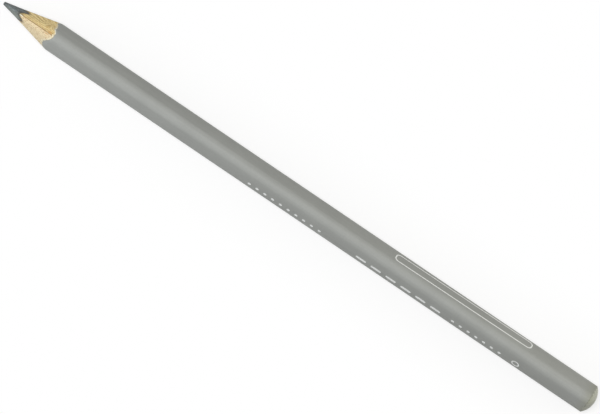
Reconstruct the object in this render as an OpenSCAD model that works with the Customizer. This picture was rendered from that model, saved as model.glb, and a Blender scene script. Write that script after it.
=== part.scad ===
// Triangular coloured pencil, lying on one of its three flats.
// A round pigment core is glued between two grooved slats. Three thin coats cover the
// wood, a domed dip closes the tail, white foil is pressed into the top coat, and the
// front end is ground to a three-sided point.
// X runs along the pencil from the point to the tail and Z is up. The origin is on the
// flat that the pencil lies on, under the middle of its length.

/* [Barrel] */
// Length from the blunt end of the point to the crown of the tail
length = 175; // [150:1:200]
// Width across two corners, over the coats
barrel_w = 7.5; // [6.8:0.1:9]
// Radius of the three long corners, over the coats
corner_r = 1.95; // [1.6:0.05:2.4]

/* [Core and slats] */
// Diameter of the pigment core
core_d = 2.8; // [2:0.1:3.6]
// Thickness of the glue film, between the slats and round the core
glue_t = 0.08; // [0.06:0.01:0.15]
// Reach of the chamfers on the lips of the slats' grooves, which the glue fills
lip_chamfer = 0.22; // [0.12:0.02:0.4]

/* [Coats] */
// Thickness of the pale ground coat on the wood
ground_t = 0.06; // [0.05:0.01:0.12]
// Thickness of the colour coat
colour_t = 0.06; // [0.05:0.01:0.15]
// Thickness of the soft top coat
grip_t = 0.08; // [0.06:0.01:0.2]

/* [Point] */
// Length of the point, from its blunt end to where it runs out on the long corners
point_len = 15.1; // [10:0.1:24]
// Width of the blunt end
blunt_w = 0.56; // [0.3:0.02:1.2]
// How much larger the point's corner radius is than the barrel's, at the run-out
point_round = 0.2; // [0.05:0.01:0.8]

/* [Tail] */
// Height of the domed dip
dome_h = 1.6; // [0.8:0.1:2.4]

/* [Foil] */
// Width of the foil lines
line_w = 0.34; // [0.2:0.02:0.6]
// Depth of the foil
foil_t = 0.03; // [0.02:0.01:0.05]

/* [Name frame] */
// Distance from the crown of the tail to the frame
frame_gap = 20.2; // [8:0.2:40]
// Length of the frame
frame_len = 40.2; // [20:0.2:60]
// Margin between the frame and the long edges of its flat
frame_margin = 0.1; // [0:0.05:0.5]
// Outer radius of the frame's corners
frame_corner = 0.8; // [0.4:0.05:1.2]

/* [Foil marks] */
// Distance from the crown of the tail to the ring
ring_gap = 20.4; // [8:0.2:40]
// Diameter of the ring
ring_d = 2.2; // [1.6:0.1:2.4]
// Width of the dots and dashes
mark_w = 0.9; // [0.5:0.1:1.4]
// Length of the dashes
dash_len = 3; // [1.6:0.1:4]
// Gap between neighbouring dots or dashes
mark_gap = 1.4; // [0.6:0.1:2]
// Gap between the ring, the rear dots and the dashes
group_gap = 3.2; // [2:0.1:6]
// Gap between the dashes and the front dots
front_gap = 10.4; // [4:0.2:16]
// Number of dots behind the dashes
rear_dots = 7; // [3:1:9]
// Number of dashes
dashes = 6; // [3:1:8]
// Number of dots in front of the dashes
front_dots = 10; // [3:1:12]
// Margin between the ring and the lower edge of its flat
ring_margin = 0.05; // [0:0.05:0.4]

/* [Hidden] */
$fn = 72;

// Directions of the three long corners from the axis, looking at the tail
corner_angles = [90, 210, 330];
// Half the turn of the surface round one corner
corner_turn = 60;
// Distance from the axis to the centre of each corner's arc
corner_c = (barrel_w / 2 - corner_r) / cos(30);
// Distance from the axis to a flat, which is the height of the axis as the pencil lies
axis_z = corner_c / 2 + corner_r;
// Distance from the axis to the top of a corner
ridge_r = corner_c + corner_r;
// Width of each flat between its corners
flat_w = 2 * corner_c * cos(30);
// Tilt of the two upper flats from level
flat_tilt = 60;

// Radius of the groove that the two slats form
groove_r = core_d / 2 + glue_t;
// How far each boundary lies below the outer surface
colour_in = grip_t;
ground_in = colour_in + colour_t;
wood_in = ground_in + ground_t;

// Places along X
point_x = -length / 2;
crown_x = length / 2;
tail_x = crown_x - dome_h;

// Section of the point at its run-out, and its share of that size at the blunt end
point_r = corner_r + point_round;
point_c = ridge_r - point_r;
blunt_k = blunt_w / (2 * (point_c * cos(30) + point_r));
// The grinding is drawn on past the run-out, so that it ends clear of the barrel
grind_past = 3;
grind_len = point_len + grind_past;
grind_k = blunt_k + (1 - blunt_k) * grind_len / point_len;

// The dome is an arc across the width, drawn as rings that shrink towards the crown
dome_r = (pow(barrel_w / 2, 2) + pow(dome_h, 2)) / (2 * dome_h);
dome_edge = asin(barrel_w / 2 / dome_r);
dome_rings = 10;
// Share of the barrel's size at which the last ring closes the crown
crown_k = 0.01;

// Sides of the arcs in hulls, a multiple of 12 so that each arc ends at its flat
hull_fn = 36;
// Thickness of the slices in hulls
slice_t = 0.004;
// Overshoot of cutting shapes
over = 1;

// Lengths of the two rear rows of marks, the ring's centre, and the end of each row at the tail's side
rear_dots_len = rear_dots * mark_w + (rear_dots - 1) * mark_gap;
dashes_len = dashes * dash_len + (dashes - 1) * mark_gap;
ring_x = crown_x - ring_gap - ring_d / 2;
// How far the middle of the marks lies below the middle of their flat
mark_drop = flat_w / 2 - ring_margin - ring_d / 2;
rear_dots_x = ring_x - ring_d / 2 - group_gap;
dashes_x = rear_dots_x - rear_dots_len - group_gap;
front_dots_x = dashes_x - dashes_len - front_gap;

// Triangle with round corners, one corner up, about the axis
module rounded_triangle(c, r) {
    for (a = corner_angles)
        translate(c * [cos(a), sin(a)])
            circle(r);
    polygon([
        for (a = corner_angles, turn = [-corner_turn, corner_turn])
            c * [cos(a), sin(a)] + r * [cos(a + turn), sin(a + turn)]
    ]);
}

// Cross-section of the barrel, a given depth below its outer surface
module barrel_section(depth) {
    rounded_triangle(corner_c, corner_r - depth);
}

// Carries a cross-section along the pencil
module run(from, to) {
    translate([from, 0, axis_z])
        rotate([90, 0, 90])
            linear_extrude(to - from)
                children();
}

// Material that grinding the point takes away
module grinding_waste() {
    difference() {
        run(point_x - over, point_x + grind_len)
            circle(2 * ridge_r);
        hull() {
            for (end = [[0, blunt_k], [grind_len, grind_k]])
                run(point_x + end[0], point_x + end[0] + slice_t)
                    rounded_triangle(point_c * end[1], point_r * end[1], $fn = hull_fn);
        }
    }
}

// A cross-section that runs from the point to the foot of the dome, ground at the front
module ground_run() {
    difference() {
        run(point_x, tail_x)
            children();
        grinding_waste();
    }
}

// Groove for the core with its chamfered lips, as both slats together have it
module groove() {
    circle(groove_r);
    for (side = [-1, 1])
        translate([0, side * groove_r])
            rotate(45)
                square(lip_chamfer * sqrt(2), center = true);
}

// One slat, on the side of +Y or of -Y
module slat(side) {
    reach = 2 * ridge_r;
    ground_run()
        difference() {
            intersection() {
                barrel_section(wood_in);
                translate([side * (reach + glue_t) / 2, 0])
                    square([reach, reach], center = true);
            }
            groove();
        }
}

// One coat between two depths
module coat(outer_depth, inner_depth) {
    ground_run()
        difference() {
            barrel_section(outer_depth);
            barrel_section(inner_depth);
        }
}

// Flat foil shape with round ends, from x towards the point
module round_bar(x, len, w) {
    for (end = [x - w / 2, x - len + w / 2])
        translate([end, 0])
            circle(w / 2);
    translate([x - len / 2, 0])
        square([len - w, w], center = true);
}

// Flat foil shape with round corners, from x towards the point
module round_plate(x, len, w, r) {
    for (end = [x - r, x - len + r], side = [-1, 1])
        translate([end, side * (w / 2 - r)])
            circle(r);
    translate([x - len / 2, 0]) {
        square([len - 2 * r, w], center = true);
        square([len, w - 2 * r], center = true);
    }
}

// Outline of a round plate, drawn with one foil line
module round_outline(x, len, w, r) {
    difference() {
        round_plate(x, len, w, r);
        round_plate(x - line_w, len - 2 * line_w, w - 2 * line_w, r - line_w);
    }
}

// Row of dashes, from x towards the point
module dash_row(x, count) {
    for (i = [0 : count - 1])
        round_bar(x - i * (dash_len + mark_gap), dash_len, mark_w);
}

// Row of dots, from x towards the point
module dot_row(x, count) {
    for (i = [0 : count - 1])
        translate([x - mark_w / 2 - i * (mark_w + mark_gap), 0])
            circle(mark_w / 2);
}

// Ring drawn with one foil line
module ring(x) {
    translate([x, 0])
        difference() {
            circle(ring_d / 2);
            circle(ring_d / 2 - line_w);
        }
}

module frame_shape() {
    round_outline(crown_x - frame_gap, frame_len, flat_w - 2 * frame_margin, frame_corner);
}

module marks_shape() {
    translate([0, -mark_drop]) {
        ring(ring_x);
        dot_row(rear_dots_x, rear_dots);
        dash_row(dashes_x, dashes);
        dot_row(front_dots_x, front_dots);
    }
}

// Lays a flat shape into one of the two upper flats, from the foil's depth up to a height
module on_flat(tilt, height) {
    translate([0, 0, axis_z])
        rotate([tilt, 0, 0])
            translate([0, 0, axis_z - foil_t])
                linear_extrude(foil_t + height)
                    children();
}

module core() {
    color("#6f7678")
        ground_run()
            circle(core_d / 2);
}

module glue_film() {
    color("#d9cfb0")
        ground_run()
            difference() {
                union() {
                    groove();
                    intersection() {
                        square([glue_t, 4 * ridge_r], center = true);
                        barrel_section(wood_in);
                    }
                }
                circle(core_d / 2);
            }
}

module left_slat() {
    color("#ddcba9")
        slat(-1);
}

module right_slat() {
    color("#c8b286")
        slat(1);
}

module ground_coat() {
    color("#e8e4d6")
        coat(ground_in, wood_in);
}

module colour_coat() {
    color("#8b8e8c")
        coat(colour_in, ground_in);
}

module grip_coat() {
    color("#969894")
        difference() {
            coat(0, colour_in);
            on_flat(-flat_tilt, over)
                frame_shape();
            on_flat(flat_tilt, over)
                marks_shape();
        }
}

module end_dip() {
    color("#9b9c90")
        hull()
            for (i = [0 : dome_rings]) {
                a = dome_edge * (1 - i / dome_rings);
                k = max(sin(a) / sin(dome_edge), crown_k);
                x = min(tail_x + dome_r * (cos(a) - cos(dome_edge)), crown_x - slice_t);
                run(x, x + slice_t)
                    rounded_triangle(corner_c * k, corner_r * k, $fn = hull_fn);
            }
}

module name_frame() {
    color("#e6e8e6")
        on_flat(-flat_tilt, 0)
            frame_shape();
}

module foil_marks() {
    color("#e6e8e6")
        on_flat(flat_tilt, 0)
            marks_shape();
}

core();
glue_film();
left_slat();
right_slat();
ground_coat();
colour_coat();
grip_coat();
end_dip();
name_frame();
foil_marks();
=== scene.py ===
import bmesh
import bpy
import numpy as np
from mathutils import Matrix, Vector


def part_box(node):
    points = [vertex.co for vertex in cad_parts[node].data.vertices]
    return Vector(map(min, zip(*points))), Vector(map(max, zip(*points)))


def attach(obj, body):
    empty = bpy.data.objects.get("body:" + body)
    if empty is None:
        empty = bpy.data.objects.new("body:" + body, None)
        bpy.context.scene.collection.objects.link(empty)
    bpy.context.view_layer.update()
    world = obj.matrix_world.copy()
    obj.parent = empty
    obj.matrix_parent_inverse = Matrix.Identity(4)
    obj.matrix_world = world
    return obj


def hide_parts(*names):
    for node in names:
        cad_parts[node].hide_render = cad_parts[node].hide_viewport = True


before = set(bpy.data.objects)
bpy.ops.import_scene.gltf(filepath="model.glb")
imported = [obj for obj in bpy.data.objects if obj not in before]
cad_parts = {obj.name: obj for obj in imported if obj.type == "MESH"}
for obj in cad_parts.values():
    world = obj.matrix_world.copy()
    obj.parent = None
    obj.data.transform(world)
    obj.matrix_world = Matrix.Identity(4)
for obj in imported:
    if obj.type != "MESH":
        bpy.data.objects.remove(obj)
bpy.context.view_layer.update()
mm = 0.001
wholeTurn = 2 * np.pi
halfTurn = wholeTurn / 2
quarterTurn = wholeTurn / 4
thirdTurn = wholeTurn / 3
sixthTurn = wholeTurn / 6
twelfthTurn = wholeTurn / 12
print("frame:", len(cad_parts), "nodes")


# The barrel's section is a triangle with round corners and one corner up. Its width and its ends
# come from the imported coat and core.
barrel = {
    "cornerRadius": 1.95,
    "crown": 0.09,  # how far the two upper flats bulge at their middle
    "columns": 480,  # round the barrel
    "sideRows": 40,  # along the barrel
}
coatLow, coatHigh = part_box("grip_coat")
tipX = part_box("core")[0].x
tailX = coatHigh.x
cornerRadius = barrel["cornerRadius"] * mm
cornerCentre = ((coatHigh.y - coatLow.y) / 2 - cornerRadius) / np.cos(twelfthTurn)
flatReach = cornerCentre / 2 + cornerRadius  # from the axis to a flat
ridgeReach = cornerCentre + cornerRadius  # from the axis to the top of a corner
axisHeight = coatLow.z + flatReach

# The point is the same kind of section, a little rounder, drawn in to an apex ahead of the blunt end.
# It was ground a little off the barrel's axis and a little oval.
point = {
    "length": 15.1,
    "bluntWidth": 0.56,
    "extraRound": 0.2,
    "bulges": (-0.03, 0.07, 0.09),  # of its right, left and lower faces, at the run-out
    "lean": 0.03,  # how far its axis is off at the run-out
    "leanTo": 230,  # degrees, the direction of that
    "oval": 0.06,  # how much wider it is one way, and narrower the other
    "ovalTo": 160,  # degrees, the wider way
}
runOutX = tipX + point["length"] * mm
pointRadius = cornerRadius + point["extraRound"] * mm
pointCentre = ridgeReach - pointRadius
bluntShare = point["bluntWidth"] * mm / 2 / (pointCentre * np.cos(twelfthTurn) + pointRadius)
apexX = tipX - point["length"] * mm * bluntShare / (1 - bluntShare)


# Distance from the axis to a rounded triangle, by direction: near a corner the ray meets a circle
# about the corner's centre, and elsewhere it meets a straight flat.
def sectionReach(angle, centre, radius):
    fromCorner = np.abs((angle - quarterTurn + sixthTurn) % thirdTurn - sixthTurn)
    arcEnd = np.arctan2(radius * np.sin(sixthTurn), centre + radius * np.cos(sixthTurn))
    overhang = np.maximum(radius**2 - (centre * np.sin(fromCorner)) ** 2, 0)
    onArc = centre * np.cos(fromCorner) + np.sqrt(overhang)
    onSide = (centre / 2 + radius) / np.cos(sixthTurn - fromCorner)
    return np.where(fromCorner < arcEnd, onArc, onSide)


# Direction from the middle of the nearest flat
def turnFromFlat(angle):
    return (angle - twelfthTurn + sixthTurn) % thirdTurn - sixthTurn


# Distance from the axis to the point's section at its run-out. Each of its three faces bulges as a
# parabola that is nothing at the face's edges.
def pointReach(angle):
    lean = point["lean"] * mm * np.cos(angle - np.radians(point["leanTo"]))
    oval = point["oval"] * mm * np.cos(2 * (angle - np.radians(point["ovalTo"])))
    face = ((angle + twelfthTurn) % wholeTurn / thirdTurn).astype(int)
    halfFace = pointCentre * np.cos(twelfthTurn)
    across = np.tan(turnFromFlat(angle)) * (pointCentre / 2 + pointRadius) / halfFace
    bulge = np.take(point["bulges"], face, mode="clip") * mm * np.maximum(1 - across**2, 0)
    return sectionReach(angle, pointCentre, pointRadius) + bulge + lean + oval


# Where the ground face of the point has a given distance from the axis: the face is straight from
# the apex, so the place along X is in proportion to that distance.
def pointPlace(angle, reach):
    return apexX + (runOutX - apexX) * reach / pointReach(angle)


# Places along X, directions and distances from the axis, as points
def aroundAxis(x, angle, reach):
    angle = np.broadcast_to(angle, np.shape(x))
    return np.stack([x, reach * np.cos(angle), axisHeight + reach * np.sin(angle)], axis=-1)


# One layer of the pencil between two distances from the axis. Each column is a closed profile in
# one direction: out along the ground face, back along the outer side to the tail, and in again.
def layerGrid(angle, inner, outer, faceRows, sideRows=1):
    faceReach = inner + (outer - inner) * np.linspace(0, 1, faceRows)[:, None]
    faceX = pointPlace(angle, faceReach)
    outward = np.arange(1, sideRows + 1)[:, None] / sideRows
    homeward = np.arange(sideRows)[:, None] / sideRows
    outerX = faceX[-1] + (tailX - faceX[-1]) * outward
    innerX = tailX + (faceX[0] - tailX) * homeward
    x = np.concatenate([faceX, outerX, innerX])
    reach = np.concatenate([faceReach, outer + 0 * outerX, inner + 0 * innerX])
    return aroundAxis(x, angle, reach)


# A closed line that wanders gently: cosines round the barrel, with phases drawn once, added up and
# divided by the square root of their number
def wander(angle, waves, seed):
    phases = np.random.default_rng(seed).uniform(0, wholeTurn, len(waves))
    return np.cos(np.outer(angle, waves) + phases).sum(axis=1) / np.sqrt(len(waves))


# Quads between neighbouring rows and columns of a grid, which may close on itself either way
def gridQuads(rows, columns, closeRows, closeColumns):
    index = np.arange(rows * columns).reshape(rows, columns)
    if closeRows:
        index = np.concatenate([index, index[:1]])
    if closeColumns:
        index = np.concatenate([index, index[:, :1]], axis=1)
    corners = [index[:-1, :-1], index[:-1, 1:], index[1:, 1:], index[1:, :-1]]
    return np.stack(corners, axis=-1).reshape(-1, 4)


# How pieces are closed and shaded
meshing = {
    "mergeReach": 0.0001,  # points closer than this become one
    "crispAngle": 7,  # degrees, edges sharper than this stay crisp
}


# A piece made of one or more grids: doubles are merged, so that poles and seams close, faces are
# turned outwards, and sharp edges stay crisp.
def addPiece(name, grids, closeRows, closeColumns, material, node):
    points, quads, count = [], [], 0
    for grid in grids:
        rows, columns = grid.shape[:2]
        points.append(grid.reshape(-1, 3))
        quads.append(gridQuads(rows, columns, closeRows, closeColumns) + count)
        count += rows * columns
    mesh = bpy.data.meshes.new(name)
    mesh.from_pydata(np.concatenate(points).tolist(), [], np.concatenate(quads).tolist())
    shape = bmesh.new()
    shape.from_mesh(mesh)
    bmesh.ops.remove_doubles(shape, verts=shape.verts, dist=meshing["mergeReach"] * mm)
    bmesh.ops.recalc_face_normals(shape, faces=shape.faces)
    shape.to_mesh(mesh)
    shape.free()
    mesh.shade_smooth()
    mesh.set_sharp_from_angle(angle=np.radians(meshing["crispAngle"]))
    mesh.materials.append(material)
    piece = bpy.data.objects.new(name, mesh)
    bpy.context.scene.collection.objects.link(piece)
    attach(piece, "root")
    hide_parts(node)
    print(name, len(mesh.polygons), "faces")


# The picture looks straight down on the pencil through a long lens.
view = {
    "pictureSize": (600, 414),  # pixels
    "pencilMiddle": (299.15, 202.8),  # the pixel that shows the pencil's middle
    "pixelsPerMm": 4.075,
    "slope": 34.1,  # degrees that the pencil falls to the right
    "lens": 800,
    "sensor": 36,  # its width
}


def addCamera():
    slope = np.radians(view["slope"])
    right = Vector((np.cos(slope), np.sin(slope), 0))
    up = Vector((-np.sin(slope), np.cos(slope), 0))
    back = Vector((0, 0, 1))
    width, height = view["pictureSize"]
    column, row = view["pencilMiddle"]
    pixel = mm / view["pixelsPerMm"]
    centre = Vector((0, 0, axisHeight))
    centre += right * (width / 2 - column) * pixel - up * (height / 2 - row) * pixel
    camera = bpy.data.objects.new("camera", bpy.data.cameras.new("camera"))
    camera.data.sensor_width = view["sensor"]
    camera.data.lens = view["lens"]
    distance = width * pixel * view["lens"] / view["sensor"]
    turned = Matrix((right, up, back)).transposed().to_4x4()
    camera.matrix_world = Matrix.Translation(centre + back * distance) @ turned
    bpy.context.scene.collection.objects.link(camera)
    bpy.context.scene.camera = camera


addCamera()
print("camera placed")


# Adds one node with its settings and its inputs, each a value or a link
def addNode(tree, kind, inputs=None, **settings):
    node = tree.nodes.new(kind)
    for setting, value in settings.items():
        setattr(node, setting, value)
    for socket, value in (inputs or {}).items():
        if isinstance(value, bpy.types.NodeSocket):
            tree.links.new(value, node.inputs[socket])
        else:
            node.inputs[socket].default_value = value
    return node


# sRGB hex to linear light, by the standard curve
def linear(hexColour):
    share = np.array([int(hexColour[i : i + 2], 16) for i in (1, 3, 5)]) / 255
    light = np.where(share <= 0.04045, share / 12.92, ((share + 0.055) / 1.055) ** 2.4)
    return (*light, 1)


def emptyTree(owner):
    owner.use_nodes = True
    owner.node_tree.nodes.clear()
    return owner.node_tree


# Places of a colour Mix node's sockets, which share their names with other kinds
mixFactor, mixA, mixB, mixResult = 0, 6, 7, 2


# Soft-touch lacquer, drawn over the barrel in thin coats and dried matt: an even warm grey with a
# broad dull light along the ridge, faint clouds and draw streaks, and a fine eggshell skin.
topCoatFinish = {
    "grey": "#aaaca8",
    "deepGrey": "#9fa19d",
    "clouds": 7,  # their size
    "streaks": (40, 0.5),  # along and across, left by the seal that the pencil was drawn through
    "skin": 0.45,  # real skin is finer, and is drawn this coarse so that it shows
    "skinLevels": (0.3, 0.7),  # of its noise, where it is smoothest and roughest
    "skinHeight": 0.03,
    "greyLevels": (1, 2),  # of clouds, streaks and skin added up, where the grey is deep and plain
    "roughness": (0.5, 0.6),
    "ior": 1.48,
    "shine": 0.2,  # the open skin swallows most of the mirror light
    "veil": "#9b9c8d",  # a breath of the dip lacquer on the end of the barrel
    "veilReach": (2.4, 0.2),  # from the tail, where it starts and is full
    "veilPatches": 1.5,
}


def softLacquer():
    finish = topCoatFinish
    material = bpy.data.materials.new("softTouchLacquerDrawnMatt")
    tree = emptyTree(material)
    place = addNode(tree, "ShaderNodeTexCoord").outputs["Object"]
    clouds = addNode(tree, "ShaderNodeTexNoise", {
        "Vector": place, "Scale": 1 / (finish["clouds"] * mm), "Detail": 4,
    })
    skin = addNode(tree, "ShaderNodeTexNoise", {
        "Vector": place, "Scale": 1 / (finish["skin"] * mm), "Detail": 2,
    })
    along, across = finish["streaks"]
    streakPlace = addNode(tree, "ShaderNodeMapping", {
        "Vector": place, "Scale": (1 / (along * mm), 1 / (across * mm), 1 / (across * mm)),
    })
    streaks = addNode(tree, "ShaderNodeTexNoise", {
        "Vector": streakPlace.outputs["Vector"], "Scale": 1, "Detail": 2,
    })
    streaked = addNode(tree, "ShaderNodeMath", {
        0: clouds.outputs["Fac"], 1: streaks.outputs["Fac"],
    }, operation="ADD")
    uneven = addNode(tree, "ShaderNodeMath", {
        0: streaked.outputs[0], 1: skin.outputs["Fac"],
    }, operation="ADD")
    deepLevel, plainLevel = finish["greyLevels"]
    cloudShare = addNode(tree, "ShaderNodeMapRange", {
        "Value": uneven.outputs[0], "From Min": deepLevel, "From Max": plainLevel,
    })
    cloudTone = addNode(tree, "ShaderNodeMix", {
        mixFactor: cloudShare.outputs["Result"],
        mixA: linear(finish["deepGrey"]),
        mixB: linear(finish["grey"]),
    }, data_type="RGBA")
    split = addNode(tree, "ShaderNodeSeparateXYZ", {"Vector": place})
    veilStart, veilFull = finish["veilReach"]
    nearTail = addNode(tree, "ShaderNodeMapRange", {
        "Value": split.outputs["X"], "From Min": tailX - veilStart * mm, "From Max": tailX - veilFull * mm,
    })
    patches = addNode(tree, "ShaderNodeTexNoise", {
        "Vector": place, "Scale": 1 / (finish["veilPatches"] * mm), "Detail": 2,
    })
    veilShare = addNode(tree, "ShaderNodeMath", {
        0: nearTail.outputs["Result"], 1: patches.outputs["Fac"],
    }, operation="MULTIPLY")
    tone = addNode(tree, "ShaderNodeMix", {
        mixFactor: veilShare.outputs[0],
        mixA: cloudTone.outputs[mixResult],
        mixB: linear(finish["veil"]),
    }, data_type="RGBA")
    smoothLevel, roughLevel = finish["skinLevels"]
    smoothest, roughest = finish["roughness"]
    rough = addNode(tree, "ShaderNodeMapRange", {
        "Value": skin.outputs["Fac"],
        "From Min": smoothLevel,
        "From Max": roughLevel,
        "To Min": smoothest,
        "To Max": roughest,
    })
    bump = addNode(tree, "ShaderNodeBump", {
        "Height": skin.outputs["Fac"], "Strength": 1, "Distance": finish["skinHeight"] * mm,
    })
    shader = addNode(tree, "ShaderNodeBsdfPrincipled", {
        "Base Color": tone.outputs[mixResult],
        "Roughness": rough.outputs["Result"],
        "IOR": finish["ior"],
        "Specular IOR Level": finish["shine"],
        "Normal": bump.outputs["Normal"],
    })
    addNode(tree, "ShaderNodeOutputMaterial", {"Surface": shader.outputs["BSDF"]})
    return material


# Nitrocellulose colour lacquer under the soft coat, cut open by the grinding: a harder, darker grey
# that shows as a thin dull line at the edge of the paint.
colourCoatFinish = {
    "grey": "#8f9290",
    "cutGrey": "#a1a29d",
    "grain": 0.3,  # drawn coarse so that it shows
    "roughness": 0.5,
    "ior": 1.5,
}


def colourLacquer():
    finish = colourCoatFinish
    material = bpy.data.materials.new("colourLacquerCutOpen")
    tree = emptyTree(material)
    place = addNode(tree, "ShaderNodeTexCoord").outputs["Object"]
    grain = addNode(tree, "ShaderNodeTexNoise", {
        "Vector": place, "Scale": 1 / (finish["grain"] * mm), "Detail": 3,
    })
    tone = addNode(tree, "ShaderNodeMix", {
        mixFactor: grain.outputs["Fac"],
        mixA: linear(finish["grey"]),
        mixB: linear(finish["cutGrey"]),
    }, data_type="RGBA")
    shader = addNode(tree, "ShaderNodeBsdfPrincipled", {
        "Base Color": tone.outputs[mixResult], "Roughness": finish["roughness"], "IOR": finish["ior"],
    })
    addNode(tree, "ShaderNodeOutputMaterial", {"Surface": shader.outputs["BSDF"]})
    return material


# Chalk-filled ground coat, cut open by the grinding: a dry cream line between the wood and the grey,
# crumbled and stained here and there.
groundCoatFinish = {
    "cream": "#f8f3e2",
    "stain": "#dccb9e",
    "crumbs": 0.35,  # drawn coarse so that they show
    "crumbLevels": (0.42, 0.62),  # of their noise, where they are stained and clean
    "crumbHeight": 0.02,
    "roughness": 0.75,
    "ior": 1.45,
}


def chalkGround():
    finish = groundCoatFinish
    material = bpy.data.materials.new("chalkGroundCutOpen")
    tree = emptyTree(material)
    place = addNode(tree, "ShaderNodeTexCoord").outputs["Object"]
    crumbs = addNode(tree, "ShaderNodeTexNoise", {
        "Vector": place, "Scale": 1 / (finish["crumbs"] * mm), "Detail": 3,
    })
    stainedLevel, cleanLevel = finish["crumbLevels"]
    cleanShare = addNode(tree, "ShaderNodeMapRange", {
        "Value": crumbs.outputs["Fac"], "From Min": stainedLevel, "From Max": cleanLevel,
    })
    tone = addNode(tree, "ShaderNodeMix", {
        mixFactor: cleanShare.outputs["Result"],
        mixA: linear(finish["stain"]),
        mixB: linear(finish["cream"]),
    }, data_type="RGBA")
    bump = addNode(tree, "ShaderNodeBump", {
        "Height": crumbs.outputs["Fac"], "Distance": finish["crumbHeight"] * mm,
    })
    shader = addNode(tree, "ShaderNodeBsdfPrincipled", {
        "Base Color": tone.outputs[mixResult],
        "Roughness": finish["roughness"],
        "IOR": finish["ior"],
        "Normal": bump.outputs["Normal"],
    })
    addNode(tree, "ShaderNodeOutputMaterial", {"Surface": shader.outputs["BSDF"]})
    return material


# Softwood slat, ground to a point: growth rings cut at a slant make bands and arches, fine fibres run
# along the pencil with short dark pores between them, and the ground face is dry and matt.
paleWood = {
    "name": "paleSoftwoodGround",
    "early": "#f3e5c1",
    "late": "#e4cc9f",
    "fibre": "#cfb284",
    "pore": "#94704a",
    "stain": "#b98f58",
    "ringWidth": 0.42,
    "ringPlace": (-75, -8.1, -6.2),  # a point of the tree's heart line
    "ringTurn": (0, 1, 1),  # degrees, how that line slants
    "ringWobble": 0.5,
    "knot": (-77.5, -1.9, 4.6),  # its middle
    "knotReach": 1.2,
    "knotLift": 0.4,  # how far it pushes the rings outwards
    "resin": (-74.6, -0.4, 6.4),  # the middle of a patch of it
    "resinReach": (0.9, 0.25),  # along and across
    "resinColour": "#c99a5c",
    "fibreSize": (5, 0.14),  # along and across, drawn coarse so that it shows
    "fibreShare": 0.8,
    "poreSize": (1, 0.13),  # along and across, drawn coarse too
    "poreShare": 0.7,
    "stainWidth": 0.12,  # how far the glue has stained the wood
    "soakWidth": 0.9,  # how far it has soaked in more thinly
    "soakShare": 0.15,
}
yellowWood = {
    "name": "yellowSoftwoodGround",
    "early": "#ffebb0",
    "late": "#cca763",
    "fibre": "#d8b978",
    "pore": "#87642f",
    "stain": "#7c5426",
    "ringWidth": 0.4,
    "ringPlace": (-75, 9, 5.2),
    "ringTurn": (0, 0, -1),
    "ringWobble": 0.25,
    "knot": (-74.9, 2, 4.9),
    "knotReach": 2.1,
    "knotLift": 1,
    "resin": (-74, 0.3, 6.4),
    "resinReach": (0.8, 0.5),
    "resinColour": "#c68a3e",
    "fibreSize": (4, 0.14),
    "fibreShare": 0.65,
    "poreSize": (1, 0.13),
    "poreShare": 0.7,
    "stainWidth": 0.3,
    "soakWidth": 0.95,
    "soakShare": 0.4,
}

# What the two woods share
bothWoods = {
    "heartStretch": 1e6,  # so long that places along the heart line count as one
    "ringUnevenness": (3, 0.8),  # along and across, the size of the wobbles in the rings
    "lateStart": 0.35,  # share of a ring's width where it starts to darken
    "lateLevels": (0.35, 0.6),  # of the fibres' noise, where late wood is palest and full
    "lateLeast": 0.5,
    "fibreLevels": (0.45, 0.7),  # of that noise, where fibres start to darken and are full
    "fibreHeight": 0.04,
    "fibreRelief": 0.6,
    "poreLevels": (0.57, 0.7),  # of their noise, where pores start and are full
    "stainShare": 0.95,
    "blots": 1.5,  # size of the thin places in the stain
    "blotLevels": (0.2, 0.6),  # of their noise, where the stain is gone and full
    "resinStart": 0.3,  # share of its reach where the resin starts to fade
    "resinShare": 0.6,
    "roughness": 0.7,
    "ior": 1.45,
}

# Pigment that the grinding smudged into the wood next to the core, in an uneven brown fringe
smudge = {
    "colour": "#504b40",
    "reach": (1.5, 1.68),  # from the axis, where it starts to fade and is gone
    "drag": (0.16, -0.4),  # across and up, how far it was dragged to one side
    "unevenness": 0.12,
    "share": 0.85,
}


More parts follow.
